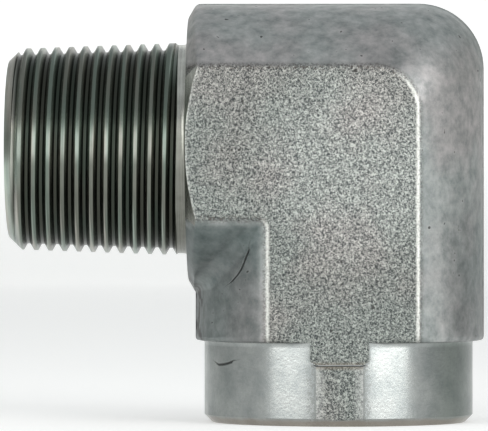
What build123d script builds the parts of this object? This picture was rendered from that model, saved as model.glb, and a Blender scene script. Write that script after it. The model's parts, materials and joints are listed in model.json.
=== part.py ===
from build123d import *
import os
from math import radians, sqrt, tan

# Forged steel street elbow, 3/4 in pipe size, with a male taper thread at one end and a female one at
# the other. Millimetres. The origin is where the two port axes cross. The male port points to -X and
# the female port to -Z, on whose end face the elbow stands. The wrench pads face -Y and +Y.

# Reach of each port's end face from the crossing of the axes
male_reach = 41.9
female_reach = 34.7

# Forging
flats_width = 33.34            # across the wrench pads, 1-5/16 in
outer_reach = 18.35            # port axis to the side on the outside of the bend
inner_reach = 18.05            # port axis to the side on the inside of the bend
pad_outer_edge = 9.8           # port axis to the pad's edge on the outside of the bend
pad_inner_edge = 9.0           # port axis to the pad's edge on the inside of the bend
outer_bend_radius = 8.3
inner_bend_radius = 2.0
flash_width = 2.4              # of the band left along the parting line, where the flash was trimmed
flash_height = 0.15

# Turned shoulder and neck behind the male thread
male_shoulder = 19.1           # crossing of the axes to the shoulder
shoulder_chamfer_angle = 30
neck_diameter = 26.6
neck_root_chamfer = 0.8         # 45 degrees, against the shoulder

# Turned collar round the female port
collar_shoulder = 24.35        # crossing of the axes to the collar's shoulder
collar_diameter = 34.15
collar_root_chamfer = 0.5
collar_edge_chamfer = 1.0
shoulder_edge_chamfer = 0.4     # of the forging's edge over the collar
collar_skin_width = 33.62      # across the strips of forged skin that the turning tool misses
pad_run_out = 27.2             # crossing of the axes to the pad's rounded end on the collar
pad_run_out_width = 8.15
pad_run_out_radius = 1.5

# Taper pipe thread, 14 to the inch
thread_pitch = 25.4 / 14
thread_taper = 1 / 16          # on the diameter
thread_flank_angle = 30        # of each flank from a plane across the axis
thread_crest_flat = 0.25
male_pitch_diameter = 24.58    # at the end face
male_lead_in_diameter = 22.6   # of the end face, inside its 45 degree chamfer
male_thread_length = 21.2
female_pitch_diameter = 25.12  # at the end face
female_mouth_diameter = 27.4   # of the 45 degree chamfer at the end face

# Drilled waterway
waterway_diameter = 15.7
waterway_edge_chamfer = 0.5
tap_drill_diameter = 23.0
tap_drill_depth = 21.5         # end face to the end of the full diameter
drill_point_angle = 118
male_drill_overrun = 1.0       # full diameter beyond the crossing of the axes
female_drill_overrun = 4.5

# Worked out from the sizes above
pad_height = flats_width / 2
neck_radius = neck_diameter / 2
collar_radius = collar_diameter / 2
waterway_radius = waterway_diameter / 2
tap_drill_radius = tap_drill_diameter / 2
male_shoulder_depth = male_reach - male_shoulder
collar_shoulder_depth = female_reach - collar_shoulder
thread_slope = thread_taper / 2
flank_tangent = tan(radians(thread_flank_angle))
crest_rise = (thread_pitch / 2 - thread_crest_flat) / (2 * flank_tangent)
clear_of_body = 2 * (male_reach + female_reach)

# Each port has its own frame: the origin on its end face, +Z into the elbow, +X to the bend's outside
male_frame = Pos(-male_reach, 0, 0) * Rot(0, 90, 0) * Rot(0, 0, 180)
female_frame = Pos(0, 0, -female_reach)


def turned(points):
    """A solid turned about +Z from the (radius, depth) corners of its outline."""
    return revolve(Plane.XZ * make_face(Polyline(*points, close=True)), Axis.Z)


def leg(reach, shoulder_depth):
    """A straight leg of the forging in its port's frame, mitred at 45 degrees at the bend."""
    outer_edge = (pad_outer_edge, pad_height)
    inner_edge = (-pad_inner_edge, pad_height)
    outer_edge_back = (pad_outer_edge, -pad_height)
    inner_edge_back = (-pad_inner_edge, -pad_height)
    section = make_face([
        Line(inner_edge, outer_edge),
        ThreePointArc(outer_edge, (outer_reach, 0), outer_edge_back),
        Line(outer_edge_back, inner_edge_back),
        ThreePointArc(inner_edge_back, (-inner_reach, 0), inner_edge),
    ])
    bar = Pos(0, 0, shoulder_depth) * extrude(section, reach - shoulder_depth + outer_reach)
    mitre = Plane(origin=(0, 0, reach), z_dir=(1, 0, -1))
    return split(bar, bisect_by=mitre, keep=Keep.TOP)


def facing_cut():
    """What the turning tool takes off in front of the male shoulder and its chamfer."""
    corner_radius = sqrt(max(pad_outer_edge, pad_inner_edge) ** 2 + pad_height ** 2)
    cut_radius = max(corner_radius, outer_reach + flash_height, inner_reach + flash_height) + 1
    chamfer_depth = (cut_radius - pad_height) * tan(radians(shoulder_chamfer_angle))
    return turned([
        (0, male_shoulder_depth),
        (pad_height, male_shoulder_depth),
        (cut_radius, male_shoulder_depth + chamfer_depth),
        (cut_radius, -male_reach),
        (0, -male_reach),
    ])


def female_leg():
    bar = leg(female_reach, collar_shoulder_depth)
    shoulder_face = bar.faces().sort_by(Axis.Z)[0]
    return female_frame * chamfer(shoulder_face.edges(), shoulder_edge_chamfer)


def lies_on_mitre(edge):
    ends = [edge @ 0, edge @ 0.5, edge @ 1]
    return all(abs(point.X - point.Z) < 0.001 for point in ends)


def flash():
    """The trimmed band along the parting line: an L-shaped plate just proud of the forging's sides."""
    outer = outer_reach + flash_height
    inner = -inner_reach - flash_height
    bottom = shoulder_edge_chamfer - collar_shoulder
    outline = Polyline(
        (-male_reach, outer), (outer, outer), (outer, bottom),
        (inner, bottom), (inner, inner), (-male_reach, inner), close=True,
    )
    plate = extrude(make_face(Plane.XZ * outline), flash_width / 2, both=True)
    bend_edges = plate.edges().filter_by(Axis.Y).filter_by(lies_on_mitre).sort_by(Axis.X)
    plate = fillet(bend_edges[-1], outer_bend_radius)
    bend_edges = plate.edges().filter_by(Axis.Y).filter_by(lies_on_mitre).sort_by(Axis.X)
    return fillet(bend_edges[0], inner_bend_radius)


def forging():
    """The two mitred legs, blended at the bend, with the line of the flash and the male end faced off."""
    lower_leg = female_leg()
    body = male_frame * leg(male_reach, 0) + lower_leg
    mitre_edges = body.edges().filter_by(lies_on_mitre)
    body = fillet(mitre_edges.filter_by(lambda edge: edge.center().X > 0), outer_bend_radius)
    mitre_edges = body.edges().filter_by(lies_on_mitre)
    body = fillet(mitre_edges.filter_by(lambda edge: edge.center().X < 0), inner_bend_radius)
    return body + flash() - (male_frame * facing_cut() - lower_leg)


def male_end():
    """The turned neck and the thread's crest cone in front of it, set a little way into the shoulder."""
    pitch_radius = male_pitch_diameter / 2
    crest_radius = pitch_radius + crest_rise
    lead_in_radius = male_lead_in_diameter / 2
    lead_in = (crest_radius - lead_in_radius) / (1 - thread_slope)
    last_crest = crest_radius + male_thread_length * thread_slope
    root_radius = neck_radius + neck_root_chamfer
    seat_depth = male_shoulder_depth + neck_root_chamfer
    return male_frame * turned([
        (0, 0),
        (lead_in_radius, 0),
        (lead_in_radius + lead_in, lead_in),
        (last_crest, male_thread_length),
        (neck_radius, male_thread_length + last_crest - neck_radius),
        (neck_radius, male_shoulder_depth - neck_root_chamfer),
        (root_radius, male_shoulder_depth),
        (root_radius, seat_depth),
        (0, seat_depth),
    ])


def collar():
    """The turned collar, less the pads' rounded ends and the strips of forged skin on its two flats."""
    root_radius = collar_radius + collar_root_chamfer
    root_depth = collar_shoulder_depth - collar_root_chamfer
    seat_depth = collar_shoulder_depth + collar_root_chamfer
    body = turned([
        (0, 0),
        (collar_radius - collar_edge_chamfer, 0),
        (collar_radius, collar_edge_chamfer),
        (collar_radius, root_depth),
        (root_radius, collar_shoulder_depth),
        (root_radius, seat_depth),
        (0, seat_depth),
    ])
    body &= Box(clear_of_body, collar_skin_width, clear_of_body)
    run_out_height = 2 * (seat_depth - female_reach + pad_run_out)
    run_out = RectangleRounded(pad_run_out_width, run_out_height, pad_run_out_radius)
    for side in (-1, 1):
        above = Pos(0, side * (pad_height + root_radius), root_depth + root_radius)
        body -= above * Box(2 * root_radius, 2 * root_radius, 2 * root_radius)
        outline = Pos(0, side * pad_height, seat_depth) * (Plane.XZ * run_out)
        body -= extrude(outline, side * -root_radius)
    return female_frame * body


def drilled(points):
    """A drilled hole from its (radius, depth) steps, closed by the drill's point."""
    last_radius, last_depth = points[-1]
    point_end = last_depth + last_radius / tan(radians(drill_point_angle / 2))
    return turned([(0, -waterway_diameter), *points, (0, point_end)])


def male_waterway():
    mouth = waterway_radius + waterway_edge_chamfer
    return male_frame * drilled([
        (mouth, -waterway_diameter),
        (mouth, 0),
        (waterway_radius, waterway_edge_chamfer),
        (waterway_radius, male_reach + male_drill_overrun),
    ])


def female_waterway():
    """The tapered mouth for the thread, the tap drill's hole behind it and the waterway beyond."""
    mouth = female_mouth_diameter / 2
    crest_radius = female_pitch_diameter / 2 - crest_rise
    chamfer_depth = (mouth - crest_radius) / (1 - thread_slope)
    taper_depth = (crest_radius - tap_drill_radius) / thread_slope
    point_depth = (tap_drill_radius - waterway_radius) / tan(radians(drill_point_angle / 2))
    return female_frame * drilled([
        (mouth, -waterway_diameter),
        (mouth, 0),
        (crest_radius - chamfer_depth * thread_slope, chamfer_depth),
        (tap_drill_radius, taper_depth),
        (tap_drill_radius, tap_drill_depth),
        (waterway_radius, tap_drill_depth + point_depth),
        (waterway_radius, female_reach + female_drill_overrun),
    ])


def elbow_body():
    return forging() + male_end() + collar() - male_waterway() - female_waterway()


os.makedirs("parts", exist_ok=True)
export_step(elbow_body(), "parts/elbow_body.step")
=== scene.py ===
# %% [markdown]
# # A zinc-plated street elbow
# The real object is one steel forging. Its pads are blasted, its two ends are turned and threaded,
# and a thin zinc plating covers all of it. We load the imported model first, because it fixes every size
# and place, and then build one finely divided surface that stands exactly where that model stands.

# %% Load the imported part
import json
from functools import partial
from math import cos, pi, radians, sin, tan

import bmesh
import bpy
import numpy as np
from mathutils import Matrix, Vector

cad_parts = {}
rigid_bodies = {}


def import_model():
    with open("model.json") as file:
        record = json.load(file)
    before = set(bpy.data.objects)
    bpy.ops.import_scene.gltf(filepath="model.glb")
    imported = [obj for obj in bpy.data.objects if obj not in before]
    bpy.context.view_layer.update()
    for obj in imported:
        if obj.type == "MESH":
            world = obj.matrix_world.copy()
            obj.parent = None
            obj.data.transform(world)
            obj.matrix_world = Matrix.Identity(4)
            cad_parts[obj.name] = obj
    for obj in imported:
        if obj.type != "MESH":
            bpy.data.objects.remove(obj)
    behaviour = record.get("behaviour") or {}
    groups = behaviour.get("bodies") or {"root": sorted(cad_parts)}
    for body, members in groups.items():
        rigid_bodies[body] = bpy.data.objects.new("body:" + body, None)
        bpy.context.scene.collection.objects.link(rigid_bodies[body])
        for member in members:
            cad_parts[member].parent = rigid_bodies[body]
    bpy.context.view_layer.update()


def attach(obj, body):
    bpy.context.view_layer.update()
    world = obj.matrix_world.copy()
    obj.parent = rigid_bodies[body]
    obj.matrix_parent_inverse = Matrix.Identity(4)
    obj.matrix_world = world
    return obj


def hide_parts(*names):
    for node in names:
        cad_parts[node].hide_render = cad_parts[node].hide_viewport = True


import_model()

# %% [markdown]
# ## Sizes
# All lengths below are in millimetres, because that is how such a fitting is measured. The origin is
# where the two port axes cross. The male port points to -X and the female port to -Z. One helper turns
# millimetres into Blender's metres at the moment a mesh is made, so the numbers stay easy to check.

# %% Sizes of the elbow
MM = 0.001
MALE_REACH = 41.9           # crossing of the axes to the male end face
FEMALE_REACH = 34.7         # and to the female end face, on which the elbow stands
PAD = 16.67                 # half the width across the wrench pads
OUTER_REACH = 18.35         # port axis to the flank on the outside of the bend
INNER_REACH = 18.05
PAD_OUTER_EDGE = 9.8        # port axis to the pad's edge on the outside of the bend
PAD_INNER_EDGE = 9.0
OUTER_BEND_RADIUS = 8.3
PAD_BEND_RADIUS = 5.4
INNER_BEND_RADIUS = 2.0
FLASH_HALF_WIDTH = 1.2
FLASH_HEIGHT = 0.15

MALE_SHOULDER = 19.1
SHOULDER_SLOPE = tan(radians(30))
NECK_RADIUS = 13.3
NECK_FILLET = 0.8

COLLAR_SHOULDER = 24.35
COLLAR_RADIUS = 17.075
COLLAR_FILLET = 0.5
COLLAR_CHAMFER = 1.0
SHOULDER_ROUND = 0.7
SKIN_HEIGHT = 16.81         # the strips of forged skin that the turning tool missed
TONGUE_END = 27.2
TONGUE_HALF_WIDTH = 4.075
TONGUE_ROUND = 1.5

PITCH = 25.4 / 14           # 14 threads to the inch
THREAD_SLOPE = 1 / 32       # of the radius along the axis
FLANK = tan(radians(30))
CREST_FLAT = 0.25           # of a new thread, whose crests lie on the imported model's cones
CREST_RISE = (PITCH / 2 - CREST_FLAT) / (2 * FLANK)
WORN_CREST = 0.42           # width of the crests, which are blunter than those of a new die
ROOT_FLAT = 0.36            # width of the tool's tip
GROOVE_DEPTH = (PITCH - WORN_CREST - ROOT_FLAT) / (2 * FLANK)
MALE_PITCH_RADIUS = 12.29
MALE_LEAD_IN_RADIUS = 11.3
MALE_THREAD_LENGTH = 21.2
MALE_THREAD_ANGLE = -56     # degrees round the axis, to where the photograph shows the turns
FEMALE_PITCH_RADIUS = 12.56
FEMALE_MOUTH_RADIUS = 13.7
FEMALE_THREAD_LENGTH = 14.5

WATERWAY_RADIUS = 7.85
WATERWAY_CHAMFER = 0.5
TAP_DRILL_RADIUS = 11.5
TAP_DRILL_DEPTH = 21.5
DRILL_POINT_SLOPE = 1 / tan(radians(59))
MALE_DRILL_OVERRUN = 1.0
FEMALE_DRILL_OVERRUN = 4.5
print("pitch", round(PITCH, 3), "mm, groove depth", round(GROOVE_DEPTH, 2), "mm")

# %% [markdown]
# ## Camera and light
# The picture was taken from about half a metre away with a long lens, almost square to the pads. The
# metal mirrors what surrounds it, so the light matters as much as the material. Three soft boxes stand
# side by side behind the camera, and they give the collar and the thread their bright bands. The world
# is kept dim, because the upper sides of the elbow mirror it and they are a quiet grey.

# %% Camera
scene = bpy.context.scene


def new_object(name, data):
    """An object in the scene for a camera, a light or a mesh."""
    obj = bpy.data.objects.new(name, data)
    scene.collection.objects.link(obj)
    return obj


def aim(obj, target):
    """Turn a camera or a light so that it looks at a point."""
    direction = Vector(target) - obj.location
    obj.rotation_euler = direction.to_track_quat("-Z", "Y").to_euler()


PIXEL = 0.1275              # millimetres to a pixel at the middle of the elbow
IMAGE = (488, 431)
VIEW_DISTANCE = 530
CAMERA_PLACE = (-4.13, -VIEW_DISTANCE, -11.99)
AIM_POINT = (-12.04, 0, -8.48)
SENSOR_WIDTH = 36
camera_data = bpy.data.cameras.new("camera")
camera_data.sensor_width = SENSOR_WIDTH
camera_data.lens = SENSOR_WIDTH * VIEW_DISTANCE / PIXEL / IMAGE[0]
camera = new_object("camera", camera_data)
camera.location = Vector(CAMERA_PLACE) * MM
aim(camera, Vector(AIM_POINT) * MM)
scene.camera = camera
print("lens", round(camera_data.lens, 1), "mm")

# %% Lights
BOX_DISTANCE, BOX_LOW, BOX_HIGH = 640, -30, 330     # millimetres from the crossing of the axes


def soft_box(name, azimuth, width, radiance):
    """A soft box at an azimuth from the camera's side: 0 is behind the camera and 90 is to the right."""
    data = bpy.data.lights.new(name, "AREA")
    data.shape = "RECTANGLE"
    data.size, data.size_y = width * MM, (BOX_HIGH - BOX_LOW) * MM
    data.energy = radiance * pi * data.size * data.size_y
    light = new_object(name, data)
    angle = radians(azimuth)
    across, back = BOX_DISTANCE * sin(angle), BOX_DISTANCE * cos(angle)
    light.location = Vector((across, -back, (BOX_LOW + BOX_HIGH) / 2)) * MM
    aim(light, (0, 0, 0))
    light.visible_camera = False


for box in (("left", -42, 420, 4.0), ("middle", 0, 400, 1.0), ("right", 42, 440, 5.8)):
    soft_box("soft_box_" + box[0], *box[1:])
world = bpy.data.worlds.new("studio")
world.use_nodes = True
background = world.node_tree.nodes["Background"]
background.inputs["Color"].default_value = (0.94, 0.98, 1, 1)
background.inputs["Strength"].default_value = 0.52
scene.world = world
scene.view_settings.view_transform = "Standard"
print("lights", [light.name for light in bpy.data.lights])

# %% [markdown]
# ## The outline of the forging
# Every cut across either leg shows the same section: two flat pads, and two bulged flanks that meet
# the die's parting line. We describe it by its radius at each angle, because then one list of angles
# can run from the thread, over the shoulder, round the bend and down the collar, and the whole skin
# becomes one net of four-sided faces.

# %% Angles round the section
def flank_circle(edge, reach):
    """Distance of the flank arc's centre from the axis, and its radius."""
    bulge = reach - edge
    radius = (PAD ** 2 + bulge ** 2) / (2 * bulge)
    return reach - radius, radius


OUTER_CENTRE, OUTER_RADIUS = flank_circle(PAD_OUTER_EDGE, OUTER_REACH)
INNER_CENTRE, INNER_RADIUS = flank_circle(PAD_INNER_EDGE, INNER_REACH)

# Heights above the parting line, close together at the flash and at the pad's edge
flank_heights = np.concatenate([
    [0, 0.5, 0.9, 1.05, 1.2, 1.35, 1.5, 1.8, 2.3],
    np.linspace(3.0, 15.7, 19),
    [16.0, 16.25, 16.4, 16.5, 16.58, 16.64],
])
# Places across a pad, close together at its edges and at the sides of the tongue
edge_steps = np.array([0, 0.04, 0.1, 0.18, 0.3, 0.5, 0.8])
tongue_side = np.linspace(2.4, 4.5, 18)
tongue_steps = np.concatenate([-tongue_side[::-1], np.linspace(-2.0, 2.0, 11), tongue_side])


def pad_positions():
    """Places across a pad, from the outer edge to the inner one."""
    outer = np.linspace(PAD_OUTER_EDGE - 1.2, 4.9, 9)
    inner = np.linspace(-4.9, 1.2 - PAD_INNER_EDGE, 9)
    last_steps = (edge_steps - PAD_INNER_EDGE)[::-1]
    return np.concatenate([PAD_OUTER_EDGE - edge_steps, outer, tongue_steps[::-1], inner, last_steps])


def half_turn():
    """Angles from the outside of the bend, over the pad at +Y, to just before the inside of the bend."""
    outer_u = OUTER_CENTRE + np.sqrt(OUTER_RADIUS ** 2 - flank_heights ** 2)
    inner_u = -INNER_CENTRE - np.sqrt(INNER_RADIUS ** 2 - flank_heights ** 2)
    u = np.concatenate([outer_u, pad_positions(), inner_u[::-1]])
    v = np.concatenate([flank_heights, np.full(len(pad_positions()), PAD), flank_heights[::-1]])
    return np.arctan2(v, u)


upper = half_turn()
THETA = np.concatenate([upper[:-1], 2 * pi - upper[:0:-1]])
COS, SIN = np.cos(THETA), np.sin(THETA)
print("columns round the section", len(THETA))

# %% Radius of the forging at each angle
PAD_EDGE_BLEND = 0.22
STEEPNESS = np.maximum(np.abs(SIN), 0.3)        # kept off zero, where a ray never meets a pad's plane


def smooth_step(low, high, value):
    """0 below the low value, 1 above the high one, and a smooth rise between them."""
    t = np.clip((value - low) / (high - low), 0, 1)
    return t * t * (3 - 2 * t)


def soft_min(a, b, width):
    """The smaller of two values, with the crossing rounded over a width."""
    near = np.maximum(width - np.abs(a - b), 0) / width
    return np.minimum(a, b) - near ** 2 * width / 4


def ray_to_circle(centre, radius):
    """Distance from the axis to a circle at each angle, for a centre on the way to the bend's outside."""
    along = centre * COS
    return along + np.sqrt(radius ** 2 - centre ** 2 + along ** 2)


def forging_radius():
    """The flat pads and the bulged flanks, with the trimmed flash along the parting line."""
    pad = PAD / STEEPNESS
    flank = np.minimum(
        ray_to_circle(OUTER_CENTRE, OUTER_RADIUS), ray_to_circle(-INNER_CENTRE, INNER_RADIUS))
    beside_flash = smooth_step(FLASH_HALF_WIDTH - 0.1, FLASH_HALF_WIDTH + 0.6, np.abs(flank * SIN))
    flank = flank + FLASH_HEIGHT * (1 - beside_flash)
    return soft_min(pad, flank, PAD_EDGE_BLEND)


FORGING = forging_radius()
U, V = FORGING * COS, FORGING * SIN
print("forging radius from", round(FORGING.min(), 2), "to", round(FORGING.max(), 2), "mm")

# %% [markdown]
# ## One net from end to end
# The net is a list of rows, and each row has one point for every angle. Short curves round the corners
# of the outline, as the real tool and die do. The rows run from the male end to the female one, and
# each strip between two rows knows its finish, so the materials need no painting afterwards.

# %% Rows along a leg
FORGED, TURNED_X, TURNED_Z, THREAD, BORE = range(5)
CORNER_STEPS = 5
CORNER_ROOM = 0.45          # the share of a side that the curve at its corner may take


def both(axial, radial):
    """A row in a leg's own plane: its distance along the axis and its radius, for every angle."""
    ones = np.ones(len(THETA))
    return np.stack([axial * ones, radial * ones], axis=1)


def rounded(corners, radii):
    """Rows through the corners of an outline, each corner rounded as far as its two sides allow."""
    rows = [corners[0]]
    for before, corner, after, radius in zip(corners, corners[1:], corners[2:], radii):
        back, ahead = before - corner, after - corner
        back_length = np.linalg.norm(back, axis=1, keepdims=True) + 1e-9
        ahead_length = np.linalg.norm(ahead, axis=1, keepdims=True) + 1e-9
        cosine = np.sum(back * ahead, axis=1, keepdims=True) / (back_length * ahead_length)
        half = np.arccos(np.clip(cosine, -0.999, 0.999)) / 2
        room = CORNER_ROOM * np.minimum(back_length, ahead_length)
        setback = np.minimum(radius / np.tan(half), room)
        start = corner + back / back_length * setback
        end = corner + ahead / ahead_length * setback
        if np.all(radius == 0):
            rows.append(corner)
            continue
        for t in np.linspace(0, 1, CORNER_STEPS):
            rows.append((1 - t) ** 2 * start + 2 * t * (1 - t) * corner + t ** 2 * end)
    rows.append(corners[-1])
    return rows


def on_male_leg(row):
    """The points of a row in the part's own frame, for the leg towards -X."""
    return np.stack([-row[:, 0], row[:, 1] * SIN, row[:, 1] * COS], axis=1)


def on_female_leg(row):
    """The points of a row in the part's own frame, for the leg towards -Z."""
    return np.stack([row[:, 1] * COS, row[:, 1] * SIN, -row[:, 0]], axis=1)


# %% Rows of the male end
END_CAP_RADIUS = 9.0        # inside it, one flat face closes the end until the drill opens it
UNDER_CREST = 0.012         # keeps the corner of the lead-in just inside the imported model
TIGHTEST_BEND = 1           # radius of the bend between the pad's middle and its inner edge

crest_radius = MALE_PITCH_RADIUS + CREST_RISE
lead_in = (crest_radius - MALE_LEAD_IN_RADIUS) / (1 - THREAD_SLOPE)
last_crest = crest_radius + MALE_THREAD_LENGTH * THREAD_SLOPE
thread_end = MALE_REACH - MALE_THREAD_LENGTH
edge_depth = MALE_SHOULDER - (FORGING - PAD) * SHOULDER_SLOPE
bend = (
    TIGHTEST_BEND + (INNER_BEND_RADIUS - TIGHTEST_BEND) * smooth_step(2, INNER_REACH, -U)
    + (PAD_BEND_RADIUS - TIGHTEST_BEND) * smooth_step(0, PAD_OUTER_EDGE, U)
    + (OUTER_BEND_RADIUS - PAD_BEND_RADIUS) * smooth_step(PAD_OUTER_EDGE, OUTER_REACH, U)
)
bend = np.minimum(bend, 0.9 * (U + edge_depth))

# The shoulder's edge is crisp at the pads and blunt on the flanks
edge_round = 0.2 + 0.8 * smooth_step(PAD_OUTER_EDGE, PAD_OUTER_EDGE + 3, np.abs(U))[:, None]
male_rows = [on_male_leg(row) for row in rounded(
    [
        both(MALE_REACH, END_CAP_RADIUS),
        both(MALE_REACH, MALE_LEAD_IN_RADIUS),
        both(MALE_REACH - lead_in, crest_radius - UNDER_CREST),
        both(thread_end, last_crest),
        both(thread_end - last_crest + NECK_RADIUS, NECK_RADIUS),
        both(MALE_SHOULDER, NECK_RADIUS),
        both(MALE_SHOULDER, PAD),
        both(edge_depth, FORGING),
        both(bend - U, FORGING),
    ],
    [0.06, 0, 0, 0.3, NECK_FILLET, edge_round, edge_round],
)]
print("rows of the male end", len(male_rows))

# %% Rows of the bend
bend_rows = [
    np.stack([U - bend + bend * sin(turn), V, U - bend + bend * cos(turn)], axis=1)
    for turn in np.linspace(0, pi / 2, 18)[1:-1]
]
print("rows of the bend", len(bend_rows))

# %% Rows of the female end
TONGUE_STEP = 0.07          # half the width of the step at the tongue's edge


def collar_surface(depth):
    """The collar's radius: a turned round, less the tongue and the strips of forged skin."""
    across = np.abs(PAD * COS / STEEPNESS)
    beside = np.maximum(across - (TONGUE_HALF_WIDTH - TONGUE_ROUND), 0)
    below = max(depth - (TONGUE_END - TONGUE_ROUND), 0)
    outside = np.hypot(beside, below) - TONGUE_ROUND
    plane = PAD + (SKIN_HEIGHT - PAD) * smooth_step(-TONGUE_STEP, TONGUE_STEP, outside)
    radius = np.minimum(COLLAR_RADIUS, plane / STEEPNESS)
    return np.minimum(radius, COLLAR_RADIUS - (depth - (FEMALE_REACH - COLLAR_CHAMFER)))


# Depths below the crossing of the axes, close together at the tongue's end and at the chamfer
tongue_depths = np.arange(25.0, 27.7, 0.12)
plain_depths = np.linspace(28.2, FEMALE_REACH - COLLAR_CHAMFER, 11)
chamfer_depths = np.array([33.76, 33.83, 33.9, 33.97, 34.2, 34.45, 34.66])
female_rows = [on_female_leg(row) for row in rounded(
    [
        both(bend - U, FORGING),
        both(COLLAR_SHOULDER, FORGING),
        both(COLLAR_SHOULDER, collar_surface(COLLAR_SHOULDER)),
        both(tongue_depths[0], collar_surface(tongue_depths[0])),
    ],
    [SHOULDER_ROUND, COLLAR_FILLET],
)]
collar_rows = [
    on_female_leg(both(depth, collar_surface(depth)))
    for depth in np.concatenate([tongue_depths[1:], plain_depths, chamfer_depths])
]
end_radius = COLLAR_RADIUS - COLLAR_CHAMFER
face_radii = (end_radius - 0.04, 15.2, 14.4)
face_rows = [on_female_leg(both(FEMALE_REACH, radius)) for radius in face_radii]
print("rows of the collar", len(female_rows + collar_rows + face_rows))

# %% [markdown]
# ## From rows to a mesh
# Long steps between rows are divided, so that the faces stay about as long as they are wide. Both
# ends are closed with a flat face, because the drills and the threading tools come next and they need
# a closed body to cut.

# %% Weave the rows into a closed body
def divided(rows, finishes, longest):
    """Extra rows between rows that are far apart. Each new strip keeps the finish of its old one."""
    out_rows, out_finishes = [rows[0]], []
    for row, following, finish in zip(rows, rows[1:], finishes):
        gap = np.linalg.norm(following - row, axis=1).max()
        parts = max(1, int(np.ceil(gap / longest[finish])))
        for part in range(1, parts + 1):
            out_rows.append(row + (following - row) * part / parts)
            out_finishes.append(finish)
    return out_rows, out_finishes


LONGEST_STEP = {FORGED: 0.85, TURNED_X: 0.7, TURNED_Z: 0.7, THREAD: 1.6}
skin = male_rows + bend_rows + female_rows + collar_rows + face_rows
first_forged = len(male_rows) - CORNER_STEPS - 1
last_forged = len(male_rows + bend_rows) + CORNER_STEPS
strip_finish = []
for strip, (row, following) in enumerate(zip(skin, skin[1:])):
    middle_x = (row + following).mean(0)[0] / 2
    if middle_x < -thread_end + 0.2:
        strip_finish.append(THREAD)
    elif middle_x < 0.3 - MALE_SHOULDER or strip < first_forged:
        strip_finish.append(TURNED_X)
    else:
        strip_finish.append(FORGED if strip < last_forged else TURNED_Z)
skin, strip_finish = divided(skin, strip_finish, LONGEST_STEP)
print("rows", len(skin), "faces", len(skin) * len(THETA))

FINISH_NAMES = ("blasted_forging", "turned_neck", "turned_collar", "cut_thread", "drilled_bore")
finishes = [bpy.data.materials.new(name) for name in FINISH_NAMES]


def mesh_object(name, points, faces, finish_of_face):
    """A mesh object from points in millimetres, with the five finishes in its slots."""
    mesh = bpy.data.meshes.new(name)
    mesh.from_pydata((np.asarray(points) * MM).tolist(), [], faces)
    for finish in finishes:
        mesh.materials.append(finish)
    mesh.polygons.foreach_set("material_index", finish_of_face)
    return new_object(name, mesh)


def tidy(obj, merge_distance=0.002):
    """Merge points that lie on each other, drop what collapsed and turn every face outwards."""
    bm = bmesh.new()
    bm.from_mesh(obj.data)
    bmesh.ops.remove_doubles(bm, verts=bm.verts, dist=merge_distance * MM)
    bmesh.ops.dissolve_degenerate(bm, edges=bm.edges, dist=merge_distance * MM / 4)
    bmesh.ops.recalc_face_normals(bm, faces=bm.faces)
    open_edges = sum(1 for edge in bm.edges if len(edge.link_faces) != 2)
    bm.to_mesh(obj.data)
    bm.free()
    return open_edges


def net_faces(count, strips):
    """The four-sided faces between rows that each have this many points and close round."""
    return [
        (low + i, low + (i + 1) % count, low + count + (i + 1) % count, low + count + i)
        for low in range(0, strips * count, count) for i in range(count)]


def woven(name, rows, finish_of_strip, end_finish):
    """A closed body from rows of points, with a flat face over each end."""
    count, strips = len(rows[0]), len(rows) - 1
    last = strips * count
    ends = [tuple(range(count))[::-1], tuple(range(last, last + count))]
    finish_of_face = np.repeat(finish_of_strip, count).tolist() + end_finish
    return mesh_object(name, np.concatenate(rows), net_faces(count, strips) + ends, finish_of_face)


elbow = woven("elbow", skin, strip_finish, [THREAD, TURNED_Z])
print("open edges in the skin", tidy(elbow))

# %% [markdown]
# ## Drills
# Each waterway is drilled from its own end, and a drill leaves a cone at the bottom of its hole. The
# female side is opened out first with a tap drill and then with the cone on which its thread lies.
# Such round shapes are rows too, turned about their own axis.

# %% Drill shapes
def turned(name, outline, place, finish, around=160):
    """A round body from (radius, depth) pairs, turned about the depth axis and put in place."""
    angles = np.linspace(0, 2 * pi, around, endpoint=False)
    rows = [
        np.stack([radius * np.cos(angles), radius * np.sin(angles), np.full(around, depth)], axis=1)
        for radius, depth in outline
    ]
    obj = woven(name, rows, [finish] * (len(rows) - 1), [finish, finish])
    obj.data.transform(place)
    tidy(obj)
    return obj


male_place = Matrix(((0, 0, 1, -MALE_REACH * MM), (0, -1, 0, 0), (1, 0, 0, 0), (0, 0, 0, 1)))
female_place = Matrix.Translation((0, 0, -FEMALE_REACH * MM))
BEYOND = -6                 # each drill starts this far in front of its end face
DRILL_TIP = 0.02
drill_point = WATERWAY_RADIUS * DRILL_POINT_SLOPE
female_crest = FEMALE_PITCH_RADIUS - CREST_RISE
mouth_depth = (FEMALE_MOUTH_RADIUS - female_crest) / (1 - THREAD_SLOPE)
taper_depth = (female_crest - TAP_DRILL_RADIUS) / THREAD_SLOPE
tap_point = (TAP_DRILL_RADIUS - WATERWAY_RADIUS) * DRILL_POINT_SLOPE

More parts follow.
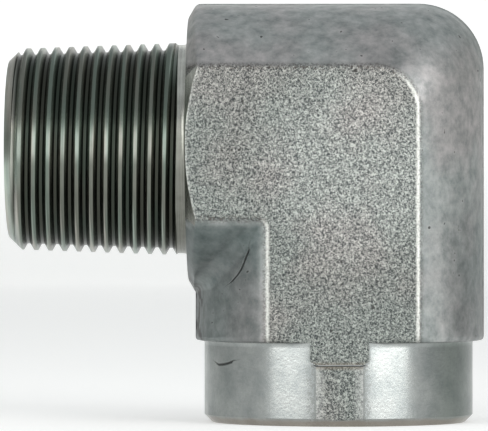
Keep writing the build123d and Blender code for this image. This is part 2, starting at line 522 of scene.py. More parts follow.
male_drill = turned("male_drill", [
    (WATERWAY_RADIUS + WATERWAY_CHAMFER, BEYOND),
    (WATERWAY_RADIUS + WATERWAY_CHAMFER, 0),
    (WATERWAY_RADIUS, WATERWAY_CHAMFER),
    (WATERWAY_RADIUS, MALE_REACH + MALE_DRILL_OVERRUN),
    (DRILL_TIP, MALE_REACH + MALE_DRILL_OVERRUN + drill_point),
], male_place, BORE)
female_drill = turned("female_drill", [
    (FEMALE_MOUTH_RADIUS, BEYOND),
    (FEMALE_MOUTH_RADIUS, 0),
    (female_crest - mouth_depth * THREAD_SLOPE, mouth_depth),
    (TAP_DRILL_RADIUS, taper_depth),
    (TAP_DRILL_RADIUS, TAP_DRILL_DEPTH),
    (WATERWAY_RADIUS, TAP_DRILL_DEPTH + tap_point),
    (WATERWAY_RADIUS, FEMALE_REACH + FEMALE_DRILL_OVERRUN),
    (DRILL_TIP, FEMALE_REACH + FEMALE_DRILL_OVERRUN + drill_point),
], female_place, BORE)
print("drills", [len(drill.data.polygons) for drill in (male_drill, female_drill)], "faces")

# %% [markdown]
# ## The threads, with Geometry Nodes
# A thread is one groove that winds round a cone, so it is a path and a section: the tree draws a
# spiral, lifts its last turn out of the metal, where the die stops cutting, and sweeps the tool's
# outline along it. The same tree makes both threads. Its inputs are the sizes that a machinist would
# read from a thread table. The result is a cutting body, because a real thread is cut too.

# %% Two small helpers for nodes
MAP, MATH, VECTOR = "ShaderNodeMapRange", "ShaderNodeMath", "ShaderNodeVectorMath"
TIMES = {"operation": "MULTIPLY"}


def fill(node, inputs):
    """Fill a node's active inputs, given in order or by name, with values or with other sockets."""
    active = [socket for socket in node.inputs if socket.enabled]
    if isinstance(inputs, dict):
        inputs = {next(s for s in active if s.name == name): value for name, value in inputs.items()}
    else:
        inputs = dict(zip(active, inputs))
    for socket, value in inputs.items():
        if isinstance(value, bpy.types.NodeSocket):
            node.id_data.links.new(value, socket)
        else:
            socket.default_value = value


def add_node(tree, kind, inputs=(), output=None, **settings):
    """Add a node with its settings and links, and return its first active output, or a named one."""
    node = tree.nodes.new(kind)
    for name, value in settings.items():
        setattr(node, name, value)
    fill(node, inputs)
    return next((s for s in node.outputs if s.enabled and output in (None, s.name)), None)


# %% The thread tree
def thread_tree():
    """A tree that sweeps a threading tool's outline along a spiral on a cone."""
    tree = bpy.data.node_groups.new("thread_groove", "GeometryNodeTree")
    add = partial(add_node, tree)
    sizes = (
        "Pitch", "Turns", "Start Radius", "Taper", "Tip Width", "Top Width", "Groove Depth",
        "Run-out Turns", "Run-out Lift", "Steps a Turn", "Side",
    )
    for name in sizes:
        tree.interface.new_socket(name, in_out="INPUT", socket_type="NodeSocketFloat")
    tree.interface.new_socket("Finish", in_out="INPUT", socket_type="NodeSocketMaterial")
    tree.interface.new_socket("Geometry", in_out="OUTPUT", socket_type="NodeSocketGeometry")
    given = tree.nodes.new("NodeGroupInput").outputs

    # The spiral, which grows with the taper
    height = add(MATH, [given["Pitch"], given["Turns"]], **TIMES)
    end_radius = add(MATH, [height, given["Taper"], given["Start Radius"]], operation="MULTIPLY_ADD")
    spiral = add("GeometryNodeCurveSpiral", {
        "Resolution": given["Steps a Turn"], "Rotations": given["Turns"], "Height": height,
        "Start Radius": given["Start Radius"], "End Radius": end_radius,
    })

    # The run-out: over the last turns, the path moves out of the metal
    factor = add("GeometryNodeSplineParameter", output="Factor")
    share_left = add(MATH, [1.0, factor], operation="SUBTRACT")
    turns_left = add(MATH, [share_left, given["Turns"]], **TIMES)
    lift = add(MAP, [turns_left, given["Run-out Turns"], 0.0, 0.0, given["Run-out Lift"]])
    place = add("GeometryNodeInputPosition")
    flat = add(VECTOR, [place, (1, 1, 0)], **TIMES)
    outward = add(VECTOR, [flat], operation="NORMALIZE")
    offset = add(VECTOR, {"Vector": outward, "Scale": lift}, operation="SCALE")
    path = add("GeometryNodeSetPosition", {"Geometry": spiral, "Offset": offset})
    upright = add("GeometryNodeSetCurveNormal", {"Curve": path}, mode="Z_UP")

    # The tool's outline, with its tip on the path and its wide side out of the metal
    tool = add("GeometryNodeCurvePrimitiveQuadrilateral", {
        "Bottom Width": given["Tip Width"], "Top Width": given["Top Width"],
        "Height": given["Groove Depth"], "Offset": 0.0,
    }, mode="TRAPEZOID")
    signed_depth = add(MATH, [given["Groove Depth"], given["Side"]], **TIMES)
    shift = add(MATH, [signed_depth, -0.5], **TIMES)
    quarter = add(MATH, [given["Side"], pi / 2], **TIMES)
    euler = add("ShaderNodeCombineXYZ", {"Z": quarter})
    outline = add("GeometryNodeTransform", {
        "Geometry": tool,
        "Translation": add("ShaderNodeCombineXYZ", {"X": shift}),
        "Rotation": add("FunctionNodeEulerToRotation", [euler]),
    })

    swept = add(
        "GeometryNodeCurveToMesh", {"Curve": upright, "Profile Curve": outline, "Fill Caps": True})
    whole = add("GeometryNodeRealizeInstances", {"Geometry": swept})
    finished = add("GeometryNodeSetMaterial", {"Geometry": whole, "Material": given["Finish"]})
    add("NodeGroupOutput", {"Geometry": finished})
    return tree


THREAD_TREE = thread_tree()
print("nodes in the thread tree", len(THREAD_TREE.nodes))

# %% Run the thread tree
STEPS_A_TURN = 150.0
GROOVE_MERGE = 0.0005
OVERCUT = 0.12              # the cutting body stands this far out of the metal
cut_height = GROOVE_DEPTH + OVERCUT
top_width = ROOT_FLAT + 2 * cut_height * FLANK


def groove(name, place, angle, sizes):
    """Run the thread tree with some sizes and keep its result as a plain mesh in place."""
    holder = new_object("holder", bpy.data.meshes.new("holder"))
    modifier = holder.modifiers.new("thread", "NODES")
    modifier.node_group = THREAD_TREE
    sizes = {
        "Finish": finishes[THREAD], "Pitch": PITCH, "Tip Width": ROOT_FLAT, "Top Width": top_width,
        "Groove Depth": cut_height, "Steps a Turn": STEPS_A_TURN, **sizes,
    }
    for item in THREAD_TREE.interface.items_tree:
        if item.in_out == "INPUT":
            modifier[item.identifier] = sizes[item.name]
    evaluated = holder.evaluated_get(bpy.context.evaluated_depsgraph_get())
    mesh = bpy.data.meshes.new_from_object(evaluated)
    holder.modifiers.remove(modifier)
    bpy.data.objects.remove(holder)
    mesh.transform(place @ Matrix.Scale(MM, 4) @ Matrix.Rotation(radians(angle), 4, "Z"))
    obj = new_object(name, mesh)
    print(name, "faces", len(mesh.polygons), "open edges", tidy(obj, GROOVE_MERGE))
    return obj


# %% Grooves of the two threads
LEAD_TURNS = 1              # turns before the end face, so that the groove enters at its full depth
TURNS_PAST_NECK = 0.4
RUN_OUT_LIFT = 1.7
male_turns = LEAD_TURNS + MALE_THREAD_LENGTH / PITCH + TURNS_PAST_NECK
male_root = crest_radius - GROOVE_DEPTH - LEAD_TURNS * PITCH * THREAD_SLOPE
start = Matrix.Translation((0, 0, -LEAD_TURNS * PITCH * MM))
male_groove = groove("male_groove", male_place @ start, MALE_THREAD_ANGLE, {
    "Turns": male_turns, "Start Radius": male_root, "Taper": THREAD_SLOPE,
    "Run-out Turns": 0.45, "Run-out Lift": RUN_OUT_LIFT, "Side": 1.0,
})
female_turns = LEAD_TURNS + FEMALE_THREAD_LENGTH / PITCH
female_root = female_crest + GROOVE_DEPTH + LEAD_TURNS * PITCH * THREAD_SLOPE
female_groove = groove("female_groove", female_place @ start, 0, {
    "Turns": female_turns, "Start Radius": female_root, "Taper": -THREAD_SLOPE,
    "Run-out Turns": 1.5, "Run-out Lift": -RUN_OUT_LIFT, "Side": -1.0,
})

# %% [markdown]
# ## Cutting
# A Boolean modifier takes the drills and the grooves away from the body. The exact solver is slower
# than the fast one, but it keeps the body closed where the two drill holes cross. Each cut face brings
# its own finish with it.

# %% Cut the body
CUT_MERGE = 0.0004          # finer than elsewhere, because a cut leaves true points close together
SHARP_ANGLE = radians(32)

cutters = bpy.data.collections.new("cutters")
scene.collection.children.link(cutters)
for cutter in (male_drill, female_drill, male_groove, female_groove):
    scene.collection.objects.unlink(cutter)
    cutters.objects.link(cutter)
cut = elbow.modifiers.new("cut", "BOOLEAN")
cut.operation = "DIFFERENCE"
cut.operand_type = "COLLECTION"
cut.collection = cutters
cut.solver = "EXACT"
cut.material_mode = "TRANSFER"
evaluated = elbow.evaluated_get(bpy.context.evaluated_depsgraph_get())
cut_mesh = bpy.data.meshes.new_from_object(evaluated)
elbow.modifiers.remove(cut)
elbow.data = cut_mesh
for cutter in list(cutters.objects):
    bpy.data.objects.remove(cutter)
bpy.data.collections.remove(cutters)
print("open edges after the cut", tidy(elbow, CUT_MERGE), "faces", len(elbow.data.polygons))
elbow.data.shade_smooth()
elbow.data.set_sharp_from_angle(angle=SHARP_ANGLE)

# %% [markdown]
# ## Marks that follow the shape
# Some marks of the real elbow belong to a place and not to a finish: the trimmed flash has left black
# specks inside the bend, and two fine laps were folded in by the forging dies. Painted highlights along
# the pads' upright edges and painted shade on some faces belong to a place too. They could be painted,
# but we work out the distance to each mark at every point of the mesh and store it there. Distances
# change evenly across a face, so a fine line stays sharp even on large faces.

# %% Where the points are
NOWHERE = 9.0               # a distance in mm at which no mark shows


def read(elements, name, width=3, kind=float):
    """One property of all points or faces of a mesh, with a row for each."""
    values = np.empty(width * len(elements), dtype=kind)
    elements.foreach_get(name, values)
    return values.reshape(-1, width)


x, y, z = read(elbow.data.vertices, "co").T / MM
on_male_end = x < -20
on_sides = np.abs(y) > 15
print("points to mark", len(x))


def mark(name, values):
    """Store a value for every point of the elbow, for its materials to read."""
    attribute = elbow.data.attributes.new(name, "FLOAT", "POINT")
    attribute.data.foreach_set("value", values.astype(np.float32))


def fade(low, high, value):
    """1 below the low value, 0 above the high one, and a smooth fall between them."""
    return 1 - smooth_step(low, high, value)


# %% Edges of the pads
def past_corner(centre):
    """Distance of each point past a rounded corner's centre on the diagonal, in the front view."""
    right, up = x - centre, z - centre
    return np.hypot(np.maximum(right, 0), np.maximum(up, 0)) + np.minimum(np.maximum(right, up), 0)


def pad_edge_distance():
    """Distance from the outline of the L-shaped pads in mm, negative on the pads."""
    outer = past_corner(PAD_OUTER_EDGE - PAD_BEND_RADIUS) - PAD_BEND_RADIUS
    inside = slice(len(U) // 2, None)       # U rises over this half of the angles, once they are reversed
    inner_radius = np.interp(-PAD_INNER_EDGE, U[::-1][inside], bend[::-1][inside])
    return np.maximum(outer, inner_radius - past_corner(-PAD_INNER_EDGE - inner_radius))


pad_edge = pad_edge_distance()
mark("pad_edge", pad_edge)
# The limits below are places in mm, measured from the crossing of the axes
upright_outer = smooth_step(6, 8, x) * fade(7.5, 9.5, z)
upright_inner = smooth_step(-10, -9.3, x) * fade(-10, -8, z) * fade(-8, -7, x)
mark("upright_edge", np.maximum(upright_outer, upright_inner))
shoulder_edge = MALE_SHOULDER - (np.hypot(y, z) - PAD) * SHOULDER_SLOPE + x
mark("shoulder_edge", np.where(np.abs(y) > PAD - 0.1, shoulder_edge, NOWHERE))
mark("trimmed_flash", fade(4.0, 7.5, np.abs(y)) * fade(-15, -12, x) * fade(-14, -11, z))
print("pad edge distance from", round(pad_edge.min(), 1), "to", round(pad_edge.max(), 1), "mm")

# %% Painted shade by place, in mm from the crossing of the axes
# Painted shade low on the right flank, inside the bend and on the flank beside the pads
lower_right = smooth_step(12, 15, x) * fade(-18, 0, z)
inside_bend = smooth_step(-0.2, 1.4, -PAD_INNER_EDGE - np.maximum(x, z))
inside_bend = inside_bend * (0.75 + 0.25 * smooth_step(-19, -13, z))
beside_pad = smooth_step(-0.1, 0.3, pad_edge) * fade(0.3, 3.5, pad_edge)
beside_pad = beside_pad * smooth_step(5, 8, np.maximum(x, z)) * smooth_step(2, 6, x)
shaded_skin = np.maximum.reduce([inside_bend, 0.6 * lower_right, 0.4 * beside_pad])
mark("shaded_skin", shaded_skin)
# Painted shade on the pads, growing away from their bright middle
mark("pad_shade", smooth_step(6, 15, np.hypot(x - 1.5, z + 2.5)))
# Painted shade towards both sides of the collar, more on the right
mark("collar_side_shade", 0.35 * smooth_step(-12, -15, x) + smooth_step(10, 14, x))
print("share of dull skin", round(float((shaded_skin > 0.5).mean()), 2))

# %% Depth in the thread and the painted highlights on its crests
from_end = x + MALE_REACH
male_crest = np.minimum(crest_radius + from_end * THREAD_SLOPE, MALE_LEAD_IN_RADIUS + from_end)
in_female = np.hypot(x, y) - female_crest + (z + FEMALE_REACH) * THREAD_SLOPE
below_crest = np.where(on_male_end, male_crest - np.hypot(y, z), in_female)
mark("groove_depth", np.where(from_end < 0.02, 0, below_crest / GROOVE_DEPTH))
# A painted highlight on one side of each crest, following the spiral
turns = from_end / PITCH - (np.arctan2(-y, z) - radians(MALE_THREAD_ANGLE)) / (2 * pi)
highlight_phase = np.where(on_male_end, np.sin(2 * pi * turns), 0)
mark("highlight_phase", np.where(from_end < 1, 1, highlight_phase))
# A painted highlight across the front crests at mid-height
mark("crest_highlight", np.where(y < 0, fade(0.8, 2.8, np.abs(z - 0.3)), 0))
print("deepest groove", round(below_crest[on_male_end].max(), 2), "mm")

# %% Laps, and edges on the collar
def mark_lap(name, along, across, path):
    """Mark a fine line on the front: the signed distance to it, and how much of it is here."""
    path = np.array(sorted(path))
    first, last = path[0, 0], path[-1, 0]
    here = smooth_step(first, first + LAP_TAPER, along) * fade(last - LAP_TAPER, last, along)
    mark(name, (across - np.interp(along, path[:, 0], path[:, 1])) / np.maximum(here, 0.1))
    mark(name + "_here", np.where(y < 0, here, 0))


LAP_TAPER = 0.8             # length over which a lap thins out at each end
mark_lap("forging_lap", z, x, [
    (-11.7, -10.7), (-13.5, -11.5), (-15.3, -12.2), (-16.0, -12.7), (-17.0, -13.6), (-17.6, -14.5),
])
mark_lap("collar_lap", x, z, [(-15.9, -26.7), (-15.1, -27.25), (-14.1, -27.1), (-12.6, -26.5)])
mark("rim", z + FEMALE_REACH)
at_tongue = on_sides & (np.abs(x) < TONGUE_HALF_WIDTH - 0.5)
mark("tongue_edge", np.where(at_tongue, np.abs(z + TONGUE_END), NOWHERE))
strip_half_width = np.sqrt(COLLAR_RADIUS ** 2 - SKIN_HEIGHT ** 2)
at_strip = on_sides & (z < -TONGUE_END)
mark("strip_edge", np.where(at_strip, np.abs(x) - strip_half_width, NOWHERE))
print("strip of forged skin", round(2 * strip_half_width, 2), "mm wide")

# %% Forged skin on the collar and the shoulder
# The strips on the collar face straight along Y. On the shoulder only the flanks kept their skin.
FACES_Y = 0.9995
PAD_SINE = 0.52             # below it, a place on the shoulder lies at a pad

faces = elbow.data.polygons
finish_of_face = read(faces, "material_index", 1, int)[:, 0]
facing_y = np.abs(read(faces, "normal")[:, 1]) > FACES_Y
across_y, up_z = read(faces, "center")[:, 1:].T / MM
from_axis = np.hypot(across_y, up_z)
on_flank = (from_axis > PAD - 0.6) & (np.abs(up_z) > PAD_SINE * from_axis)
on_skin = (finish_of_face == TURNED_Z) & facing_y
on_shoulder = (finish_of_face == TURNED_X) & on_flank
finish_of_face[on_skin | on_shoulder] = FORGED
faces.foreach_set("material_index", finish_of_face)
print("forged skin", int(on_skin.sum()), "faces on the collar", int(on_shoulder.sum()), "on the shoulder")

# %% [markdown]
# ## Finishes
# All five finishes share one metal: clear-passivated zinc on steel, a pale grey with a faint green,
# blue or pink cast. What differs is how the steel under it was made, and that decides how rough the
# plating is and which way its fine marks run. Every pattern is procedural, so it has the same grain on
# all sides, and its scale is worked out from a size in millimetres.

# %% Colour and material helpers
MIX, NOISE, BUMP = "ShaderNodeMix", "ShaderNodeTexNoise", "ShaderNodeBump"
SMOOTH = {"interpolation_type": "SMOOTHSTEP"}
RGBA = {"data_type": "RGBA"}
MULTIPLY = {"data_type": "RGBA", "blend_type": "MULTIPLY"}


def colour(hex_code):
    """An sRGB hex colour as the linear values that Blender's sockets hold."""
    parts = [int(hex_code[i:i + 2], 16) / 255 for i in (1, 3, 5)]
    return (*[c / 12.92 if c <= 0.04045 else ((c + 0.055) / 1.055) ** 2.4 for c in parts], 1)


def per_mm(size):
    """A texture scale that gives features about this many millimetres across."""
    return 1 / (size * MM)


def start_material(material, *marks):
    """Start a metal: a function that adds to its nodes, its shader, the place on the elbow, its marks."""
    material.use_nodes = True
    add = partial(add_node, material.node_tree)
    shader = material.node_tree.nodes["Principled BSDF"]
    shader.inputs["Metallic"].default_value = 1.0
    return add, shader, add("ShaderNodeTexCoord", output="Object"), *[
        add("ShaderNodeAttribute", output="Fac", attribute_name=name) for name in marks]


def two_tone(add, value, low, high, dark, pale):
    """A dark colour where a value is low and a pale one where it is high."""
    share = add(MAP, [value, low, high, 0.0, 1.0])
    return add(MIX, [share, colour(dark), colour(pale)], **RGBA)


def passivated(add, base, clouds, green, pink, amount):
    """A base colour with the slow clouds of two faint casts that passivation leaves."""
    cast = two_tone(add, clouds, 0.4, 0.6, green, pink)
    return add(MIX, [amount, base, cast], **MULTIPLY)


def folded(add, lap, lap_here, inner, outer, darkness):
    """How dark a lap is: fully within the inner distance from its line, not at all from the outer on."""
    from_lap = add(MATH, [lap], operation="ABSOLUTE")
    fold = add(MAP, [from_lap, inner, outer, darkness, 0.0])
    return add(MATH, [fold, lap_here], **TIMES)


print("zinc, linear", [round(c, 3) for c in colour("#c0c1bc")[:3]])

# %% [markdown]
# ### Blasted forging
# Shot blasting leaves the pads covered in dimples about a quarter to half a millimetre across, and the
# plating makes them glitter. A noise texture gives the dimples, and the line where a second one crosses
# its middle value gives the small worm-like ridges between them. On the flanks the dies have pressed the
# skin smoother, so the same grain is weaker there and slow clouds take over. Painted shade darkens the
# pads away from their middle and the flanks inside the bend, low on the right and beside the pads. The
# marks go on last: pits along the pads' borders, painted highlights on the upright edges, black specks of
# flash, a lap, and brown shade at the tongue's end.

# %% Blasted forging
def finish_forging(material):
    add, shader, place, *marks = start_material(
        material, "pad_edge", "upright_edge", "shaded_skin", "pad_shade", "shoulder_edge",
        "trimmed_flash", "forging_lap", "forging_lap_here", "tongue_edge", "strip_edge")
    edge, upright, shaded_skin, pad_shade, shoulder, trimmed, lap, lap_here, tongue, strip = marks
    flank = add(MAP, [edge, -0.2, 0.8, 0.0, 1.0], **SMOOTH)

    # Grain of the blasting
    grain = add(NOISE, {
        "Vector": place, "Scale": per_mm(0.26), "Detail": 2.0, "Roughness": 0.5, "Distortion": 0.8})
    swirl = add(NOISE, {"Vector": place, "Scale": per_mm(0.42), "Detail": 0.0, "Distortion": 1.2})
    middle = add(MATH, [swirl, 0.5], operation="SUBTRACT")
    beside = add(MATH, [middle], operation="ABSOLUTE")
    ridge = add(MAP, [beside, 0.0, 0.1, 1.0, 0.0])
    relief = add(MATH, [ridge, 0.25, grain], operation="MULTIPLY_ADD")
    fine = add(NOISE, {"Vector": place, "Scale": per_mm(0.22), "Detail": 2.0})
    cloud = add(NOISE, {"Vector": place, "Scale": per_mm(1.8), "Detail": 5.0, "Roughness": 0.68})
    slow_cloud = add(NOISE, {"Vector": place, "Scale": per_mm(11), "Detail": 3.0})

    # Colours of the pads and of the flanks
    pads = two_tone(add, relief, 0.4, 0.8, "#4e5152", "#c0c1bc")
    # Painted shade: the pads darken away from their middle
    pads = add(MIX, [pad_shade, pads, colour("#e2e4e3")], **MULTIPLY)
    sides = two_tone(add, cloud, 0.3, 0.7, "#979c9b", "#d3d2d1")
    base = add(MIX, [flank, pads, sides], **RGBA)
    # Painted shade inside the bend, low on the right flank and beside the pads
    base = add(MIX, [shaded_skin, base, colour("#9aa2a2")], **MULTIPLY)
    base = passivated(add, base, slow_cloud, "#d6e2df", "#eadcdc", 0.35)

    # Pitted borders and deep pits
    from_edge = add(MATH, [edge], operation="ABSOLUTE")
    border = add(MAP, [from_edge, 0.1, 0.7, 0.7, 0.0])
    pits = add(MAP, [fine, 0.5, 0.62, 0.0, 1.0])
    pitted = add(MATH, [border, pits], **TIMES)
    pit = add(NOISE, {"Vector": place, "Scale": per_mm(0.9), "Detail": 1.0})
    pit = add(MAP, [pit, 0.74, 0.78, 0.0, 0.8])

    # Painted highlights along the pads' upright edges and along the shoulder's edge, broken up by the
    # grain
    on_edge = add(MATH, [edge, 0.12], operation="ADD")
    on_edge = add(MATH, [on_edge], operation="ABSOLUTE")
    line = add(MAP, [on_edge, 0.06, 0.34, 0.85, 0.0])
    grain_and_highlight = add(MAP, [grain, 0.3, 0.5, 0.5, 1.0])
    line = add(MATH, [line, grain_and_highlight], **TIMES)
    edge_highlight = add(MATH, [line, upright], **TIMES)
    shoulder_highlight = add(MAP, [shoulder, 0.02, 0.3, 0.8, 0.0])
    broken = add(MAP, [fine, 0.4, 0.6, 0.1, 1.0])
    shoulder_highlight = add(MATH, [shoulder_highlight, broken], **TIMES)
    edge_highlight = add(MATH, [edge_highlight, shoulder_highlight], operation="MAXIMUM")

    # Specks of flash, a little longer along the parting line, and the lap
    stretched = add(VECTOR, [place, (1.0, 0.7, 0.5)], **TIMES)
    bead = add(NOISE, {"Vector": stretched, "Scale": per_mm(0.8), "Detail": 4.0, "Distortion": 0.6})
    beads = add(MAP, [bead, 0.49, 0.58, 0.0, 0.95])
    specks = add(MATH, [trimmed, beads], **TIMES)
    fold = folded(add, lap, lap_here, 0.03, 0.17, 0.85)

    # Shade at the tongue's end, and the brighter sides of the strip below it
    shade = add(MAP, [tongue, 0.05, 0.6, 0.6, 0.0])
    shade = add(MATH, [shade, grain_and_highlight], **TIMES)
    strip_side = add(MAP, [strip, -1.4, 0.0, 0.0, 0.6])
    strip_end = add(MAP, [strip, 0.0, 0.3, 1.0, 0.0])
    strip_side = add(MATH, [strip_side, strip_end], **TIMES)
    strip_side = add(MATH, [strip_side, grain_and_highlight], **TIMES)

    for mask, code in (
            # The pale edge colour is a painted highlight
            (pit, "#2e2d2c"), (pitted, "#4e4643"), (edge_highlight, "#c3c4bf"), (strip_side, "#b9bbb8"),
            (shade, "#6a5c4a"), (specks, "#282624"), (fold, "#3a3a39")):
        base = add(MIX, [mask, base, colour(code)], **RGBA)

    # Roughness and relief
    roughness = add(MAP, [flank, 0.0, 1.0, 0.5, 0.44])
    roughness = add(MIX, [edge_highlight, roughness, 0.4])
    strength = add(MAP, [flank, 0.0, 1.0, 0.9, 0.25])
    normal = add(BUMP, {"Strength": strength, "Distance": 0.05 * MM, "Height": relief})
    dent = {"Strength": 0.8, "Distance": 0.12 * MM, "Height": fold, "Normal": normal}
    normal = add(BUMP, dent, invert=True)
    fill(shader, {"Base Color": base, "Roughness": roughness, "Normal": normal})


finish_forging(finishes[FORGED])
print("nodes in the forging's finish", len(finishes[FORGED].node_tree.nodes))

# %% [markdown]
# ### Turned faces
# A turning tool leaves fine rings round the axis. On the neck they are plain to see, so its noise is
# stretched round the axis and is fine along it, and its lower half is painted darker as shade and its top
# lighter. On the collar the rings were rubbed flat before the plating, which leaves a satin face with a
# fine grain. Its sides are painted darker as shade, it is specked beside the strip of forged skin, and
# the rim at its bottom is stained.

# %% Turned neck and collar
def finish_neck(material):
    add, shader, place = start_material(material)
    stretch = (per_mm(0.2), per_mm(12), per_mm(12))
    stretched = add(VECTOR, [place, stretch], **TIMES)
    rings = add(NOISE, {"Vector": stretched, "Scale": 1.0, "Detail": 3.0})
    stain = add(NOISE, {"Vector": place, "Scale": per_mm(2.5), "Detail": 4.0})
    share = add(MATH, [rings, stain], operation="ADD")
    share = add(MAP, [share, 0.75, 1.25, 0.0, 1.0])
    # The lower half is painted darker as shade and the top painted lighter, as the light falls
    height = add("ShaderNodeSeparateXYZ", [place], output="Z")
    lit_share = add(MAP, [height, 1 * MM, 8 * MM, 0.0, 1.0])
    shaded = add(MIX, [share, colour("#6e6f68"), colour("#8e8f88")], **RGBA)
    lit_tone = add(MIX, [share, colour("#b2b3ac"), colour("#d2d3cc")], **RGBA)
    base = add(MIX, [lit_share, shaded, lit_tone], **RGBA)
    normal = add(BUMP, {"Strength": 0.6, "Distance": 0.015 * MM, "Height": rings})
    fill(shader, {"Base Color": base, "Roughness": 0.27, "Normal": normal})


def finish_collar(material):
    add, shader, place, rim, lap, lap_here, tongue, strip, side = start_material(
        material, "rim", "collar_lap", "collar_lap_here", "tongue_edge", "strip_edge", "collar_side_shade")
    grain = add(NOISE, {"Vector": place, "Scale": per_mm(0.35), "Detail": 3.0, "Roughness": 0.6})
    cloud = add(NOISE, {"Vector": place, "Scale": per_mm(3), "Detail": 4.0})
    satin = add(MATH, [grain, 0.4, cloud], operation="MULTIPLY_ADD")
    base = two_tone(add, satin, 0.5, 0.9, "#8b908f", "#a3a6a4")
    # Painted shade towards the collar's sides
    base = add(MIX, [side, base, colour("#c9cfcb")], **MULTIPLY)

    # Specks, shade below the tongue, the stained rim and the lap
    near_strip = add(MAP, [strip, 0.0, 2.2, 0.44, 0.75])
    specks = add(MATH, [grain, near_strip], operation="GREATER_THAN")
    specks = add(MATH, [specks, 0.6], **TIMES)
    shade = add(MAP, [tongue, 0.0, 0.2, 0.5, 0.0])
    ragged = add(MATH, [cloud, 0.7, rim], operation="MULTIPLY_ADD")
    stained = add(MAP, [ragged, 0.9, 1.3, 0.45, 0.0])
    fold = folded(add, lap, lap_here, 0.06, 0.22, 0.9)
    for mask, code in ((specks, "#808381"), (shade, "#4a4541"), (stained, "#8f8070"), (fold, "#2c2c2b")):
        base = add(MIX, [mask, base, colour(code)], **RGBA)

    roughness = add(MAP, [satin, 0.5, 0.9, 0.26, 0.2])
    normal = add(BUMP, {"Strength": 0.5, "Distance": 0.02 * MM, "Height": grain})
    dent = {"Strength": 0.8, "Distance": 0.1 * MM, "Height": fold, "Normal": normal}
    normal = add(BUMP, dent, invert=True)
    fill(shader, {"Base Color": base, "Roughness": roughness, "Normal": normal})


finish_neck(finishes[TURNED_X])
finish_collar(finishes[TURNED_Z])
print("turned finishes", finishes[TURNED_X].name, finishes[TURNED_Z].name)

# %% [markdown]
# ### Thread and waterway
# The roots are painted dark as shade, with hints of teal and of rust, and the lower half is painted
# darker as shade. The flanks are still smooth from the die, so they mirror the
# soft boxes in thin bright lines. The crests are dark, with a painted highlight on one side of each crest
# and across the front at mid-height. The drilled waterway is duller and paler, because the
# plating is thin inside a long hole.

# %% Cut thread and drilled waterway
def finish_thread(material):
    add, shader, place, depth, highlight_phase, grain_and_highlight = start_material(
        material, "groove_depth", "highlight_phase", "crest_highlight")
    stretch = (per_mm(0.6), per_mm(7), per_mm(7))
    stretched = add(VECTOR, [place, stretch], **TIMES)
    oil = add(NOISE, {"Vector": stretched, "Scale": 1.0, "Detail": 3.0})
    base = two_tone(add, oil, 0.3, 0.7, "#9a9f97", "#cbd0c7")

    # Dark crests, with a painted highlight on one side of each and across the front at mid-height
    lit = add(MAP, [highlight_phase, 0.35, 0.85, 0.0, 1.0])
    dark_crest = add(MAP, [depth, 0.05, 0.4, 0.85, 0.0])
    dark_crest = add(MIX, [lit, dark_crest, 0.0])
    dark_crest = add(MIX, [grain_and_highlight, dark_crest, 0.35])
    base = add(MIX, [dark_crest, base, colour("#6c746b")], **RGBA)

    # Painted shade in the roots and on the lower half
    height = add("ShaderNodeSeparateXYZ", [place], output="Z")
    lower_shade = add(MAP, [height, -2 * MM, -6 * MM, 0.0, 0.3])
    shaded = add(MATH, [depth, lower_shade], operation="ADD")
    painted_shade = add(MAP, [shaded, 0.25, 0.8, 0.0, 0.97])
    base = add(MIX, [painted_shade, base, colour("#3d423b")], **RGBA)

    slow_cloud = add(NOISE, {"Vector": stretched, "Scale": 0.6, "Detail": 1.0})
    base = passivated(add, base, slow_cloud, "#cce0dd", "#e8d6d6", 0.5)
    fine = add(NOISE, {"Vector": place, "Scale": per_mm(0.3), "Detail": 2.0})
    normal = add(BUMP, {"Strength": 0.4, "Distance": 0.015 * MM, "Height": fine})
    fill(shader, {"Base Color": base, "Roughness": 0.27, "Normal": normal})


def finish_bore(material):
    add, shader, place = start_material(material)
    stain = add(NOISE, {"Vector": place, "Scale": per_mm(2), "Detail": 3.0})
    base = two_tone(add, stain, 0.3, 0.7, "#6f726f", "#9b9e9b")
    fill(shader, {"Base Color": base, "Roughness": 0.5})


finish_thread(finishes[THREAD])
finish_bore(finishes[BORE])
print("finishes", [finish.name for finish in finishes])

# %% [markdown]
# ## Floor
# The elbow stands on pale paper that curves up all round like a shallow bowl. The paper has a painted
# glow: the part beside and under the elbow a little, and the part behind it more. The sides of the
# bowl stay darker, because they are what the sides of the collar mirror.

# %% Floor
FLOOR_SIDES = 96
FLOOR_FLAT = 1800           # radius at which the paper starts to curve up
FLOOR_CURVE = 500
WALL_TOP = 1400


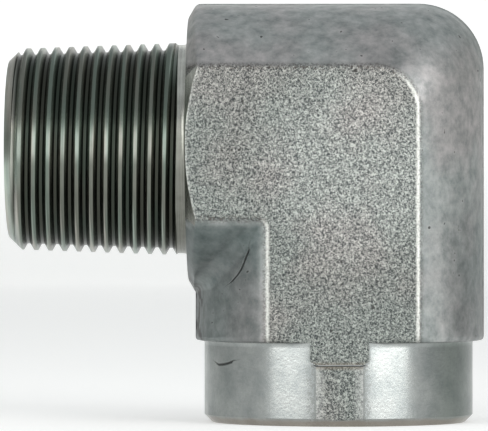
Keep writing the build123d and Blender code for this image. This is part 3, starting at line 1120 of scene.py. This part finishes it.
def paper_finish():
    """Pale matt paper with a painted glow, strongest behind the elbow. Places are in metres here."""
    material = bpy.data.materials.new("pale_matt_paper")
    material.use_nodes = True
    add = partial(add_node, material.node_tree)
    place = add("ShaderNodeTexCoord", output="Object")
    across, back, height = [add("ShaderNodeSeparateXYZ", [place], output=axis) for axis in "XYZ"]
    beside = add(MATH, [across], operation="ABSOLUTE")

    # The part behind the elbow, above the floor
    middle = add(MAP, [beside, 0.4, 0.9, 0.55, 0.0], **SMOOTH)
    behind = add(MATH, [back, 0.0], operation="GREATER_THAN")
    raised = add(MAP, [height, -0.03, 0.12, 0.0, 1.0], **SMOOTH)
    backdrop = add(MATH, [middle, behind], **TIMES)
    backdrop = add(MATH, [backdrop, raised], **TIMES)

    # The flat part near the elbow
    flat = add(MAP, [height, -0.03, 0.2, 1.0, 0.0], **SMOOTH)
    near = add(MAP, [beside, 0.2, 0.6, 0.38, 0.0], **SMOOTH)
    flat = add(MATH, [flat, near], **TIMES)
    # The glow is painted light: a pool beside the elbow and a brighter band behind it
    glow = add(MATH, [backdrop, flat], operation="ADD")
    fill(material.node_tree.nodes["Principled BSDF"], {
        "Base Color": colour("#e6e6e4"), "Roughness": 0.9,
        "Emission Color": colour("#ffffff"), "Emission Strength": glow,
    })
    return material


def studio_floor():
    """A round floor whose rim curves up into a wall, the same from all sides."""
    outline = [(0.02, 0), (FLOOR_FLAT / 2, 0), (FLOOR_FLAT, 0)]
    outline += [
        (FLOOR_FLAT + FLOOR_CURVE * sin(a), FLOOR_CURVE - FLOOR_CURVE * cos(a))
        for a in np.linspace(0.15, pi / 2, 10)]
    outline += [(FLOOR_FLAT + FLOOR_CURVE, WALL_TOP)]
    angles = np.linspace(0, 2 * pi, FLOOR_SIDES, endpoint=False)
    points = np.concatenate([
        np.stack([r * np.cos(angles), r * np.sin(angles), 0 * angles + up - FEMALE_REACH], axis=1)
        for r, up in outline])
    faces = [tuple(range(FLOOR_SIDES)), *net_faces(FLOOR_SIDES, len(outline) - 1)]
    mesh = bpy.data.meshes.new("studio_floor")
    mesh.from_pydata((points * MM).tolist(), [], faces)
    mesh.shade_smooth()
    mesh.materials.append(paper_finish())
    return new_object("studio_floor", mesh)


floor = studio_floor()
print("floor faces", len(floor.data.polygons))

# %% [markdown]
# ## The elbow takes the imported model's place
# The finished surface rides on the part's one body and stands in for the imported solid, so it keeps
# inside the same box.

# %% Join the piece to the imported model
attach(elbow, "root")
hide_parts("elbow_body")
